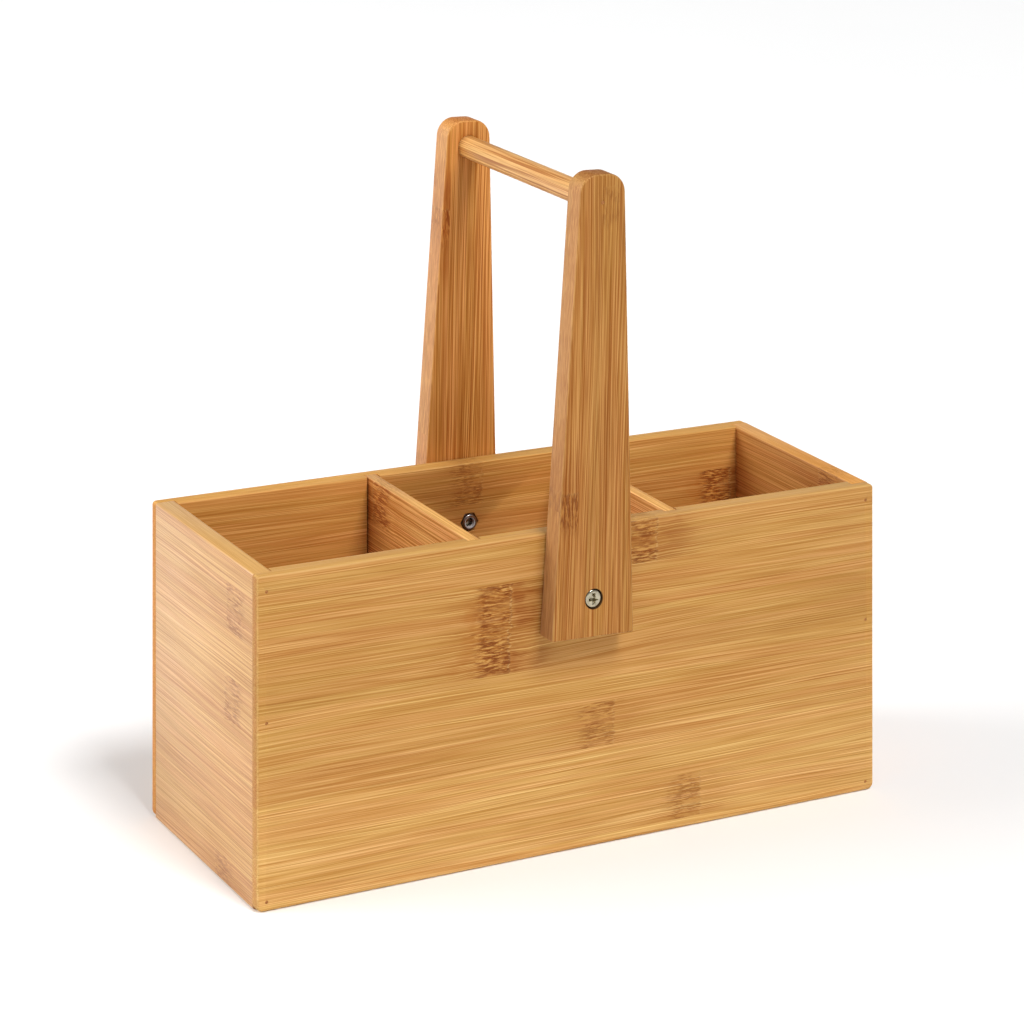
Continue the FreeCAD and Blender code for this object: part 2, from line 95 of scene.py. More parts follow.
def sand(piece, radius, steps, wanted):
    """Rounds the marked edges with sandpaper, to a radius."""
    mark_edges(piece, wanted)
    bpy.ops.mesh.bevel(offset=radius / 1000, segments=steps, affect="EDGES")
    bpy.ops.object.mode_set(mode="OBJECT")


def near(value, target):
    """Whether two lengths are the same, to within a fiftieth of a millimetre."""
    return abs(value - target) < 0.02


def weld(piece):
    """Merges corners that have met, to within a thousandth of a millimetre."""
    take(piece)
    bpy.ops.object.mode_set(mode="EDIT")
    bpy.ops.mesh.select_all(action="SELECT")
    bpy.ops.mesh.remove_doubles(threshold=0.000001)
    bpy.ops.object.mode_set(mode="OBJECT")


def ease(piece, width, angle=50):
    """Breaks every edge that is still sharp, and shades the rest smooth."""
    take(piece)
    modifier = piece.modifiers.new("ease", "BEVEL")
    modifier.width = width / 1000
    modifier.segments = 2
    modifier.limit_method = "ANGLE"
    modifier.angle_limit = math.radians(angle)
    bpy.ops.object.modifier_apply(modifier=modifier.name)
    weld(piece)
    bpy.ops.object.shade_smooth_by_angle(angle=math.radians(35))


def put(tree, kind, feeds=None, **settings):
    """Adds a shader node to a finish. Feeds go by socket, as values or as other nodes' outputs."""
    node = tree.nodes.new("ShaderNode" + kind)
    for key, value in settings.items():
        setattr(node, key, value)
    for socket, feed in (feeds or {}).items():
        if isinstance(feed, bpy.types.NodeSocket):
            tree.links.new(feed, node.inputs[socket])
        else:
            node.inputs[socket].default_value = feed
    return node


def reckon(tree, operation, *feeds):
    """Arithmetic on values and other nodes' outputs."""
    return put(tree, "Math", dict(enumerate(feeds)), operation=operation).outputs[0]


def ramp(tree, value, low, high, bottom=0.0, top=1.0):
    """A smooth step of a value between low and high."""
    feeds = {"Value": value, "From Min": low, "From Max": high, "To Min": bottom, "To Max": top}
    return put(tree, "MapRange", feeds, interpolation_type="SMOOTHSTEP").outputs[0]


def stain(tree, share, under, over, way="MIX"):
    """Lays one colour over another by a share: a Mix node's colours are inputs 6 and 7, output 2."""
    node = put(tree, "Mix", {0: share, 6: under, 7: over}, data_type="RGBA", blend_type=way)
    return node.outputs[2]


def cloud(tree, place, stretch, seed, detail=2.0, rough=0.5, swirl=0.0):
    """Noise drawn out by a stretch, in waves each way to the unit that place is given in."""
    shift = (seed * 3.1, seed * 1.7, seed * 2.3)
    moved = put(tree, "Mapping", {"Vector": place, "Location": shift, "Scale": stretch})
    feeds = {"Vector": moved.outputs[0], "Scale": 1.0, "Detail": detail, "Roughness": rough,
             "Distortion": swirl}
    return put(tree, "TexNoise", feeds).outputs[0]


# the cane's colours: its fibres from dark to pale, and what marks them
FIBRES = ((0.0, (0.42, 0.170, 0.028)), (0.32, (0.535, 0.252, 0.052)), (0.62, (0.62, 0.326, 0.080)),
          (1.0, (0.73, 0.42, 0.125)))
VESSEL_BROWN = (0.36, 0.120, 0.016, 1)
GLEAM_GOLD = (0.84, 0.54, 0.17, 1)
ROSE = (1.04, 0.92, 1.06, 1)
TAIL_BROWN = (0.37, 0.115, 0.012, 1)
SCAR_RUST = (0.43, 0.130, 0.016, 1)
# partly a knuckle's own stain, partly painted shade beside the front arm
STAIN_AND_SHADE_BROWN = (0.31, 0.090, 0.014, 1)
STROKE_BROWN = (0.20, 0.040, 0.006, 1)
FLECK_GOLD = (0.76, 0.42, 0.11, 1)
RIDGE_PALE = (0.74, 0.45, 0.15, 1)
RIDGE_DARK = (0.20, 0.055, 0.015, 1)
END_GRAIN = (0.74, 0.62, 0.55, 1)
# the pale of sanded arrises, partly a painted highlight
WORN_AND_LIT_PALE = (0.88, 0.60, 0.24, 1)
# painted shade in a screw head's seat, partly the drill's scorch
SCORCH_AND_SHADE = (0.035, 0.014, 0.005, 1)

# millimetres: how far to either side a knuckle may lie, and where its ridge runs
KNUCKLE_REACH = 200.0
RIDGE = 5.9


def bamboo(name, axes, first, width, strips, seed, turn=(0, 0, 0), shift=(0, 0, 0), fine=1.0,
           contrast=1.0, tint=(1, 1, 1), gloss=0.5, edge=(0.84, 0.53, 0.17), rounded=False,
           scorch_and_shade_radius=0.0):
    """Bamboo glued up from strips, in millimetres.

    axes are the grain's, the strips' width's and their thickness's. The strips start at first and
    are width wide, and each is (place of its knuckle along the grain, the knuckle's strength, tone).
    turn and shift set a leaning board's grain upright about the pivot. fine narrows the fibres, edge
    colours the narrow faces, a painted highlight on lit rims and painted shade where they show dark,
    rounded is for a turned piece, which has none, and the last argument is the radius of a darkened
    ring round a bore: painted shade in a screw head's seat, partly the drill's scorch.
    """
    finish = bpy.data.materials.new(name)
    finish.use_nodes = True
    tree = finish.node_tree
    shader = tree.nodes["Principled BSDF"]
    seat = put(tree, "TexCoord")
    feeds = {"Vector": seat.outputs["Object"], "Location": shift, "Rotation": turn,
             "Scale": (1000, 1000, 1000)}
    split = put(tree, "SeparateXYZ", {0: put(tree, "Mapping", feeds).outputs[0]})
    along, across, deep = (split.outputs["XYZ".index(axis)] for axis in axes)

    # which strip a point is on, and that strip's knuckle and tone
    row = reckon(tree, "FLOOR", reckon(tree, "DIVIDE", reckon(tree, "SUBTRACT", across, first), width))
    share = reckon(tree, "DIVIDE", reckon(tree, "ADD", row, 0.5), len(strips))
    table = put(tree, "ValToRGB", {0: share})
    table.color_ramp.interpolation = "CONSTANT"
    for number, (spot, strength, tone) in enumerate(strips):
        step = table.color_ramp.elements[0] if number == 0 else (
            table.color_ramp.elements[1] if number == 1 else table.color_ramp.elements.new(0.999))
        step.position = number / len(strips)
        step.color = (spot / KNUCKLE_REACH / 2 + 0.5, strength, tone, 1)
    facts = put(tree, "SeparateColor", {0: table.outputs[0]})
    knuckle = reckon(tree, "SUBTRACT", facts.outputs[0], 0.5)
    knuckle = reckon(tree, "MULTIPLY", knuckle, 2 * KNUCKLE_REACH)
    strength = facts.outputs[1]
    odd = put(tree, "TexWhiteNoise", {"W": reckon(tree, "ADD", row, seed)}, noise_dimensions="1D")

    # each strip has its own grain, which wanders slowly
    own = reckon(tree, "MULTIPLY_ADD", row, 217.0, along)
    whole = put(tree, "CombineXYZ", {0: own, 1: across, 2: deep}).outputs[0]
    wander = cloud(tree, whole, (0.0045, 0.015, 0.015), seed, 1.0)
    ripple = cloud(tree, whole, (0.02, 0.12, 0.12), seed + 1, 2.0)

    # the knuckle: a ragged scar right across the strip, with the fibres bent and dark round it
    ragged = cloud(tree, whole, (0.03, 0.9, 0.9), seed + 2, 3.0, 0.6)
    reach = reckon(tree, "SUBTRACT", along, knuckle)
    reach = reckon(tree, "MULTIPLY_ADD", reckon(tree, "SUBTRACT", ragged, 0.5), 12.0, reach)
    far = reckon(tree, "ABSOLUTE", reach)
    clean = reckon(tree, "SUBTRACT", along, knuckle)
    clean = reckon(tree, "MULTIPLY_ADD", reckon(tree, "SUBTRACT", ragged, 0.5), 5.0, clean)
    patch = cloud(tree, whole, (0.09, 0.16, 0.16), seed + 11, 2.0)
    scar = reckon(tree, "MULTIPLY", ramp(tree, reach, -12.0, -4.6), ramp(tree, clean, 6.9, 4.9))
    scar = reckon(tree, "MULTIPLY", scar, ramp(tree, patch, 0.34, 0.54, 0.4, 1.0))
    wash = reckon(tree, "MULTIPLY", scar, reckon(tree, "POWER", strength, 1.4))
    scar = reckon(tree, "MULTIPLY", scar, reckon(tree, "POWER", strength, 0.7))
    halo = reckon(tree, "MULTIPLY", ramp(tree, far, 36.0, 4.0), strength)
    twist = cloud(tree, whole, (0.09, 0.28, 0.28), seed + 3, 2.0)
    bend = reckon(tree, "MULTIPLY", reckon(tree, "SUBTRACT", twist, 0.5),
                  reckon(tree, "MULTIPLY", halo, 1.8))
    lie = reckon(tree, "MULTIPLY_ADD", reckon(tree, "SUBTRACT", wander, 0.5), 6.0, across)
    lie = reckon(tree, "MULTIPLY_ADD", reckon(tree, "SUBTRACT", ripple, 0.5), 0.5, lie)
    lie = reckon(tree, "ADD", lie, bend)
    fibre = put(tree, "CombineXYZ", {0: own, 1: lie, 2: deep}).outputs[0]

    # bands, fibres, and the thin dark vessels and golden gleams between them
    bands = cloud(tree, fibre, (0.008, 0.35 * fine, 0.35 * fine), seed + 4, 2.0, 0.6)
    threads = cloud(tree, fibre, (0.013, 1.45 * fine, 1.45 * fine), seed + 5, 2.0, 0.8)
    vessels = cloud(tree, fibre, (0.016, 1.9 * fine, 1.9 * fine), seed + 6, 2.0, 0.5)
    gleams = cloud(tree, fibre, (0.011, 1.5 * fine, 1.5 * fine), seed + 9, 2.0, 0.6)
    level = reckon(tree, "MULTIPLY_ADD", bands, 0.08, reckon(tree, "MULTIPLY", threads, 0.92))
    spread = 0.145 / contrast
    level = put(tree, "MapRange", {
        "Value": level, "From Min": 0.5 - spread, "From Max": 0.5 + spread}).outputs[0]
    colours = put(tree, "ValToRGB", {0: level})
    colours.color_ramp.elements.new(0.32)
    colours.color_ramp.elements.new(0.6)
    for step, (spot, colour) in zip(colours.color_ramp.elements, FIBRES):
        step.position = spot
        step.color = (*colour, 1)
    colour = colours.outputs[0]
    dark_lines = reckon(tree, "MULTIPLY", ramp(tree, vessels, 0.55, 0.68), 0.45 * contrast)
    colour = stain(tree, dark_lines, colour, VESSEL_BROWN)
    pale_lines = reckon(tree, "MULTIPLY", ramp(tree, gleams, 0.55, 0.68), 0.65)
    colour = stain(tree, pale_lines, colour, GLEAM_GOLD)

    # strips differ a little in tone and hue, and the tone drifts along them
    drift = cloud(tree, whole, (0.012, 0.03, 0.03), seed + 7, 2.0)
    tone = reckon(tree, "MULTIPLY_ADD", reckon(tree, "SUBTRACT", facts.outputs[2], 0.5), 0.6, 1.0)
    tone = reckon(tree, "MULTIPLY_ADD", reckon(tree, "SUBTRACT", drift, 0.5), 0.25, tone)
    shade = put(tree, "CombineColor", {
        0: tone, 1: reckon(tree, "POWER", tone, 1.5), 2: reckon(tree, "POWER", tone, 2.2)}).outputs[0]
    colour = stain(tree, 1.0, colour, shade, "MULTIPLY")
    hue = cloud(tree, fibre, (0.008, 0.22, 0.22), seed + 10, 2.0)
    rosy = reckon(tree, "MULTIPLY_ADD", odd.outputs[0], 0.3, ramp(tree, hue, 0.40, 0.62, 0.0, 0.5))
    colour = stain(tree, rosy, colour, stain(tree, 1.0, colour, ROSE, "MULTIPLY"))

    # the scar's short dark strokes and its pale ridge
    strokes = cloud(tree, fibre, (0.24, 2.0, 2.0), seed + 8, 3.0, 0.6, 0.25)
    cuts = reckon(tree, "MULTIPLY", ramp(tree, strokes, 0.49, 0.55), scar)
    tails = reckon(tree, "MULTIPLY", ramp(tree, gleams, 0.56, 0.40), halo)
    colour = stain(tree, reckon(tree, "MULTIPLY", tails, 0.62), colour, TAIL_BROWN)
    rust = reckon(tree, "MULTIPLY", reckon(tree, "MULTIPLY", halo, halo),
                  ramp(tree, patch, 0.40, 0.60, 0.12, 0.55))
    rust = reckon(tree, "MAXIMUM", rust, reckon(tree, "MULTIPLY", wash, 0.75))
    # a brown stain past the ridge of a strong knuckle, partly the knuckle's own stain and partly painted
    # shade: on the front it darkens the wood between the big knuckle and the arm, where the arm's shade
    # falls
    stain_and_shade_beyond = reckon(tree, "MULTIPLY", ramp(tree, clean, 5.0, 8.0), ramp(tree, reach, 30.0, 15.0))
    stain_and_shade_beyond = reckon(tree, "MULTIPLY", stain_and_shade_beyond, reckon(tree, "POWER", strength, 3.0))
    stain_and_shade_beyond = reckon(tree, "MULTIPLY", stain_and_shade_beyond, ramp(tree, gleams, 0.60, 0.42, 0.25, 1.0))
    stain_and_shade_beyond = reckon(tree, "MULTIPLY", stain_and_shade_beyond, ramp(tree, patch, 0.36, 0.60, 0.45, 1.0))
    colour = stain(tree, rust, colour, SCAR_RUST)
    colour = stain(tree, stain_and_shade_beyond, colour, STAIN_AND_SHADE_BROWN)
    colour = stain(tree, reckon(tree, "MULTIPLY", cuts, 0.80), colour, STROKE_BROWN)
    flecks = reckon(tree, "MULTIPLY", ramp(tree, strokes, 0.46, 0.38), scar)
    colour = stain(tree, reckon(tree, "MULTIPLY", flecks, 0.7), colour, FLECK_GOLD)
    ridge = reckon(tree, "ABSOLUTE", reckon(tree, "SUBTRACT", clean, RIDGE))
    ridge = reckon(tree, "MULTIPLY", ramp(tree, ridge, 0.7, 0.1), strength)
    ridge_colour = stain(tree, ramp(tree, strokes, 0.45, 0.52), RIDGE_PALE, RIDGE_DARK)
    colour = stain(tree, reckon(tree, "MULTIPLY", ridge, 0.5), colour, ridge_colour)

    # end grain is browner; the narrow faces take the board's edge colour, painted light that brightens
    # the rims as if lit from above; and the rounded arrises are paler, partly sanding wear, partly a
    # painted highlight
    facing = put(tree, "VectorMath", {0: seat.outputs["Normal"]}, operation="ABSOLUTE").outputs[0]
    sides = put(tree, "SeparateXYZ", {0: facing}).outputs
    cut_end = ramp(tree, sides["XYZ".index(axes[0])], 0.6, 0.95)
    colour = stain(tree, reckon(tree, "MULTIPLY", cut_end, 0.55), colour,
                   stain(tree, 1.0, colour, END_GRAIN, "MULTIPLY"))
    if not rounded:
        # painted highlight on the narrow faces, in each board's edge colour
        narrow_face_light = ramp(tree, sides["XYZ".index(axes[1])], 0.6, 0.95)
        colour = stain(tree, reckon(tree, "MULTIPLY", narrow_face_light, 0.4), colour, (*edge, 1))
        # paler on the rounded arrises: partly sanding wear, partly a painted highlight where they catch
        # the light
        widest = reckon(tree, "MAXIMUM", reckon(tree, "MAXIMUM", sides[0], sides[1]), sides[2])
        worn_and_lit_arris = ramp(tree, widest, 0.985, 0.85)
        colour = stain(tree, reckon(tree, "MULTIPLY", worn_and_lit_arris, 0.2), colour, WORN_AND_LIT_PALE)
    colour = stain(tree, 1.0, colour, (*tint, 1), "MULTIPLY")
    if scorch_and_shade_radius:
        # the wood round the bore is darkened along the strips' thickness: painted shade in the screw
        # head's seat, partly the drill's scorch
        round_axis = put(tree, "CombineXYZ", {0: along, 1: across}).outputs[0]
        distance = put(tree, "VectorMath", {0: round_axis}, operation="LENGTH").outputs["Value"]
        scorch_and_shade = ramp(tree, distance, scorch_and_shade_radius + 0.12, scorch_and_shade_radius - 0.12)
        colour = stain(tree, reckon(tree, "MULTIPLY", scorch_and_shade, 0.85), colour, SCORCH_AND_SHADE)
    tree.links.new(colour, shader.inputs["Base Color"])

    # dark fibres and strokes are rougher, and the strokes are little pits
    matt = reckon(tree, "MULTIPLY_ADD", level, -0.10, 0.56 - 0.12 * gloss)
    matt = reckon(tree, "MULTIPLY_ADD", cuts, 0.15, matt)
    tree.links.new(matt, shader.inputs["Roughness"])
    shader.inputs["Specular IOR Level"].default_value = gloss
    height = reckon(tree, "MULTIPLY_ADD", level, 0.35, reckon(tree, "MULTIPLY", vessels, -0.25))
    height = reckon(tree, "MULTIPLY_ADD", cuts, -2.0, height)
    height = reckon(tree, "MULTIPLY_ADD", ridge, 1.0, height)
    relief = put(tree, "Bump", {"Strength": 0.8, "Distance": 0.00006, "Height": height})
    tree.links.new(relief.outputs[0], shader.inputs["Normal"])
    return finish


def strips_like(count, seed, reach):
    """Strips taken from the pile: knuckles fall where they fall, about one strip in two shows one."""
    pile = random.Random(seed)
    return [(pile.uniform(-reach, reach), pile.choice((0.0, 0.55, 0.8)), pile.uniform(0.4, 0.6))
            for _ in range(count)]


def dress(piece, finish):
    """Gives a piece one finish all over."""
    piece.data.materials.clear()
    piece.data.materials.append(finish)


BASE_LENGTH, BASE_DEPTH = 267.6, 89.6
BASE_UNDER, BASE_TOP = 3, 7
base_board = saw("base_board", (-BASE_LENGTH / 2, -BASE_DEPTH / 2, BASE_UNDER),
                 (BASE_LENGTH / 2, BASE_DEPTH / 2, BASE_TOP))
ease(base_board, 0.3)
dress(base_board, bamboo("base_bamboo", "XYZ", -46, 18.5, strips_like(5, 11, 130), 31.0))
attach(base_board, "caddy")
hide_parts("base_panel")


# ---------------------------------------------------------------- end panels
# Two 8 mm bamboo boards with the grain from front to back. Each stands between the lips of the
# front and back panels, glued, and nailed through those lips. A groove takes the base board.

def cut(piece, tool, way="DIFFERENCE"):
    """Cuts a piece with a tool's shape, and puts the tool away."""
    take(piece)
    modifier = piece.modifiers.new("cut", "BOOLEAN")
    modifier.operation = way
    modifier.solver = "EXACT"
    modifier.object = tool
    bpy.ops.object.modifier_apply(modifier=modifier.name)
    mesh = tool.data
    bpy.data.objects.remove(tool)
    bpy.data.meshes.remove(mesh)
    weld(piece)


def turn_half(piece, name):
    """A copy with its own mesh, turned half round about the caddy's upright middle line."""
    take(piece)
    bpy.ops.object.duplicate(linked=False)
    copy = bpy.context.object
    copy.name = name
    copy.data.name = name
    bpy.ops.transform.rotate(value=math.pi, orient_axis="Z", center_override=(0, 0, 0))
    return settle(copy)


RIM = 125
END_FACE, END_INSIDE, END_DEPTH = 139, 131, 92
END_GROOVE_FLOOR, BASE_GROOVE_TOP = 134, 7.2
left_end = saw("left_end_board", (-END_FACE, -END_DEPTH / 2, 0), (-END_INSIDE, END_DEPTH / 2, RIM))
sand(left_end, 1.0, 4, lambda a, b: near(a.x, -END_FACE) and near(b.x, -END_FACE) and near(a.z, b.z))
sand(left_end, 0.6, 3, lambda a, b: near(a.x, -END_INSIDE) and near(b.x, -END_INSIDE)
     and near(a.z, RIM) and near(b.z, RIM))
cut(left_end, saw("groove", (-END_GROOVE_FLOOR, -END_DEPTH / 2 - 4, BASE_UNDER),
                  (-END_INSIDE + 1, END_DEPTH / 2 + 4, BASE_GROOVE_TOP)))
right_end = turn_half(left_end, "right_end_board")
LEFT_END_STRIPS = ((-18, 0.4, 0.5), (20, 0.0, 0.5), (36, 0.0, 0.46), (-60, 0.0, 0.5), (-27, 0.42, 0.55),
                   (-70, 0.0, 0.55), (-29, 0.45, 0.48), (10, 0.0, 0.5))
# the left end's tint lifts blue above red: a painted whitish sheen, added to its glossier finish
for end_board, strips, seed, tint, gloss in (
        (left_end, LEFT_END_STRIPS, 3.0, (0.89, 0.92, 1.07), 0.9),
        (right_end, strips_like(8, 5, 44), 47.0, (0.98, 0.88, 0.88), 0.3)):
    ease(end_board, 0.18)
    dress(end_board, bamboo(end_board.name + "_bamboo", "YZX", -7.2, 17.45, strips, seed, fine=2.0,
                            contrast=1.15, tint=tint, gloss=gloss, edge=(0.82, 0.45, 0.09)))
    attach(end_board, "caddy")
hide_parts("left_end_panel")
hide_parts("right_end_panel")


# ---------------------------------------------------------------- dividers
# Two 5 mm bamboo boards across the box. They are slid down grooves in the front and back panels
# until they stand on the base board, a loose fit, and their tops are level with the rim.

DIVIDER_PLACE, DIVIDER_THICK, DIVIDER_DEPTH = 44.5, 5, 90
left_divider = saw("left_divider_board",
                   (-DIVIDER_PLACE - DIVIDER_THICK / 2, -DIVIDER_DEPTH / 2, BASE_TOP),
                   (-DIVIDER_PLACE + DIVIDER_THICK / 2, DIVIDER_DEPTH / 2, RIM))
sand(left_divider, 0.6, 3, lambda a, b: near(a.z, RIM) and near(b.z, RIM) and near(a.x, b.x))
ease(left_divider, 0.2)
right_divider = turn_half(left_divider, "right_divider_board")
LEFT_DIVIDER_STRIPS = ((20, 0.0, 0.5), (-30, 0.5, 0.45), (0, 0.0, 0.5), (-10, 0.6, 0.5), (25, 0.0, 0.48),
                       (12, 0.0, 0.52), (31, 0.8, 0.48))
# the dividers' tint is lifted above the bamboo's own colour: painted light on faces that stand in the
# box's shade
for board, strips, seed in ((left_divider, LEFT_DIVIDER_STRIPS, 61.0),
                            (right_divider, strips_like(7, 23, 44), 79.0)):
    dress(board, bamboo(board.name + "_bamboo", "YZX", 3, 17.45, strips, seed, fine=1.2, contrast=2.0,
                        tint=(1.10, 0.98, 1.02), gloss=0.2, edge=(0.58, 0.42, 0.13)))
    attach(board, "caddy")
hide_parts("left_divider")
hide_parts("right_divider")


# ---------------------------------------------------------------- front and back panels
# Two 8 mm bamboo boards, each glued up from flat strips about 17 mm wide. Rabbets at their ends
# leave 4 mm lips over the end panels, and the box's corners are sanded off by hand once it is nailed.

def drill(name, x, z, diameter, start, end, sides=48):
    """A drill, or a turned blank, that reaches from one depth to another along Y."""
    clear_bench()
    bpy.ops.mesh.primitive_cylinder_add(
        vertices=sides, radius=diameter / 2000, depth=abs(end - start) / 1000,
        location=(x / 1000, (start + end) / 2000, z / 1000), rotation=(math.pi / 2, 0, 0))
    tool = bpy.context.object
    tool.name = name
    return settle(tool)


# a tool starts and ends well clear of the board, so that it cuts right through
FACE, INSIDE, CLEAR = -50, -42, -40
RABBET_FLOOR, GROOVE_FLOOR = -46, -45
HALF_GROOVE = 2.9
PIVOT_HEIGHT, BORE = 100.6, 4.1
PIVOT = (0, 0, PIVOT_HEIGHT / 1000)
CORNER_TO_FLAT = math.cos(math.pi / 6)
NUT_RECESS, NUT_RECESS_FLOOR = 7.5, -46.4
BRAD_PLACE, BRAD_HEIGHTS = 135, (119, 70, 3.5)
BRAD_HOLE, BRAD_HOLE_FLOOR = 1.3, -49.3
front_panel = saw("front_panel_board", (-END_FACE, FACE, 0), (END_FACE, INSIDE, RIM))
for radius, steps, level in ((2.6, 6, 0), (1.5, 5, RIM)):
    sand(front_panel, radius, steps, lambda a, b: near(abs(a.x), END_FACE) and near(a.x, b.x)
         and near(a.z, level) and near(b.z, level))
sand(front_panel, 1.0, 4, lambda a, b: near(a.y, FACE) and near(b.y, FACE))
sand(front_panel, 0.6, 3, lambda a, b: near(a.y, INSIDE) and near(b.y, INSIDE)
     and a.z > RIM - 1 and b.z > RIM - 1)
for side in (-1, 1):
    inner, outer = sorted((side * END_INSIDE, side * (END_FACE + 3)))
    cut(front_panel, saw("rabbet", (inner, RABBET_FLOOR, -1), (outer, CLEAR, RIM + 2)))
    middle = side * DIVIDER_PLACE
    cut(front_panel, saw("divider_groove", (middle - HALF_GROOVE, GROOVE_FLOOR, BASE_UNDER),
                         (middle + HALF_GROOVE, CLEAR, RIM + 2)))
cut(front_panel, saw("base_groove", (-END_FACE - 3, GROOVE_FLOOR, BASE_UNDER),
                     (END_FACE + 3, CLEAR, BASE_GROOVE_TOP)))
cut(front_panel, drill("pivot_drill", 0, PIVOT_HEIGHT, BORE, FACE - 1, INSIDE + 1))
nut_recess = drill("nut_recess", 0, PIVOT_HEIGHT, NUT_RECESS / CORNER_TO_FLAT,
                   NUT_RECESS_FLOOR, INSIDE + 1, sides=6)
take(nut_recess)
bpy.ops.transform.rotate(value=math.pi / 6, orient_axis="Y", center_override=PIVOT)
cut(front_panel, settle(nut_recess))
for side in (-1, 1):
    for height in BRAD_HEIGHTS:
        cut(front_panel, drill("brad_hole", side * BRAD_PLACE, height, BRAD_HOLE,
                               FACE - 1, BRAD_HOLE_FLOOR, sides=20))
back_panel = turn_half(front_panel, "back_panel_board")
# the three lowest strips of the front are paler than those above: partly their own tone, partly painted
# light for the front's brightening towards the table
FRONT_STRIPS = ((-110, 0.0, 0.80), (49, 0.45, 0.82), (150, 0.0, 0.78), (9, 0.5, 0.56), (-150, 0.0, 0.54),
                (-38, 0.95, 0.48), (-37, 1.0, 0.46), (29, 0.75, 0.46))
BACK_STRIPS = ((70, 0.6, 0.5), (-20, 0.0, 0.55), (-90, 0.7, 0.5), (40, 0.0, 0.45), (20, 0.7, 0.5),
               (-80, 0.0, 0.52), (122, 0.9, 0.45), (0, 0.4, 0.5))
# the two boards are one bamboo tinted apart: the back's lighter tint is painted light on its inner face,
# which stands in the box's shade, and the edge colours set each board's rims to the light they show, the
# back's darker
for board, strips, seed, tint, contrast, edge in (
        (front_panel, FRONT_STRIPS, 7.0, (0.81, 0.83, 0.88), 0.78, (0.74, 0.43, 0.12)),
        (back_panel, BACK_STRIPS, 19.0, (1.0, 0.93, 0.90), 0.72, (0.52, 0.34, 0.10))):
    ease(board, 0.15)
    dress(board, bamboo(board.name + "_bamboo", "XZY", -13.6, 17.35, strips, seed, fine=1.4,
                        contrast=contrast, tint=tint, gloss=0.12, edge=edge))
    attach(board, "caddy")
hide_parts("front_panel")
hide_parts("back_panel")


# ---------------------------------------------------------------- wall brads
# Thin steel brads, three up each end of the front and back panels, through the lips into the end
# panels. Their small heads are set just below the face, and have gone brown.

def steel(name, colour, rough, scratch, seed, dirt, dirt_share, bare=1.0):
    """Steel with fine scratches every way and a little dirt, less bare where it has rusted over."""
    finish = bpy.data.materials.new(name)
    finish.use_nodes = True
    tree = finish.node_tree
    shader = tree.nodes["Principled BSDF"]
    place = put(tree, "TexCoord").outputs["Object"]
    fine = cloud(tree, place, (2600, 2600, 2600), seed, 4.0, 0.7)
    swept = cloud(tree, place, (9000, 1500, 700), seed + 1, 3.0, 0.6)
    spots = cloud(tree, place, (700, 700, 700), seed + 2, 3.0, 0.6)
    wear = reckon(tree, "MULTIPLY_ADD", fine, 0.5, reckon(tree, "MULTIPLY", swept, 0.5))
    dull = tuple(part * 0.82 for part in colour) + (1,)
    bright = tuple(min(1, part * 1.12) for part in colour) + (1,)
    tone = stain(tree, wear, dull, bright)
    stained = reckon(tree, "MULTIPLY", ramp(tree, spots, 0.42, 0.66), dirt_share)
    tree.links.new(stain(tree, stained, tone, (*dirt, 1)), shader.inputs["Base Color"])
    gloss = reckon(tree, "MULTIPLY_ADD", wear, scratch, rough - scratch / 2)
    tree.links.new(reckon(tree, "MULTIPLY_ADD", stained, 0.3, gloss), shader.inputs["Roughness"])
    relief = put(tree, "Bump", {"Strength": 0.35, "Distance": 0.00002, "Height": wear})
    tree.links.new(relief.outputs[0], shader.inputs["Normal"])
    shader.inputs["Metallic"].default_value = bare
    return finish


BRAD_WIDTH, BRAD_FACE, BRAD_END = 1.26, -49.86, -48.9


def brad_heads(name):
    """The six heads of the front wall, each a low dome on a short shank."""
    heads = []
    for side in (-1, 1):
        for height in BRAD_HEIGHTS:
            head = drill(name, side * BRAD_PLACE, height, BRAD_WIDTH, BRAD_FACE, BRAD_END, sides=20)
            sand(head, 0.18, 2, lambda a, b: near(a.y, BRAD_FACE) and near(b.y, BRAD_FACE))
            heads.append(head)
    take(heads[0])
    for head in heads:
        head.select_set(True)
    bpy.ops.object.join()
    group = bpy.context.object
    group.name = name
    group.data.name = name
    bpy.ops.object.shade_smooth_by_angle(angle=math.radians(40))
    return group


brown_steel = steel("brad_steel_brown", (0.46, 0.19, 0.055), 0.6, 0.2, 4.0,
                    dirt=(0.24, 0.08, 0.02), dirt_share=0.6, bare=0.4)
front_brads = brad_heads("front_brad_heads")
back_brads = turn_half(front_brads, "back_brad_heads")
for brads, node in ((front_brads, "front_panel_brads"), (back_brads, "back_panel_brads")):
    dress(brads, brown_steel)
    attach(brads, "caddy")
    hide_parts(node)


# ---------------------------------------------------------------- handle arms
# Two tapered bamboo arms, 10 mm thick, sawn from stock glued up on edge, so that narrow bands run up
# them. Tips are rounded, edges sanded, and each is bored for its pivot screw and for the dowel.

ARM_LEAN = math.radians(1.5)
ARM_FACE, ARM_INSIDE = -60.3, -50.3
ARM_FOOT, ARM_TIP = 85.7, 265.4
FOOT_WIDTH, TIP_WIDTH = 36.7, 19.7
SEAT_WIDTH, SEAT_FLOOR = 7.9, -59.55
DOWEL_HEIGHT = 254.4
SOCKET_WIDTH, SOCKET_FLOOR = 9.6, -56.35
ARM_BRAD_HOLE, ARM_BRAD_HOLE_FLOOR = 1.5, -59.6


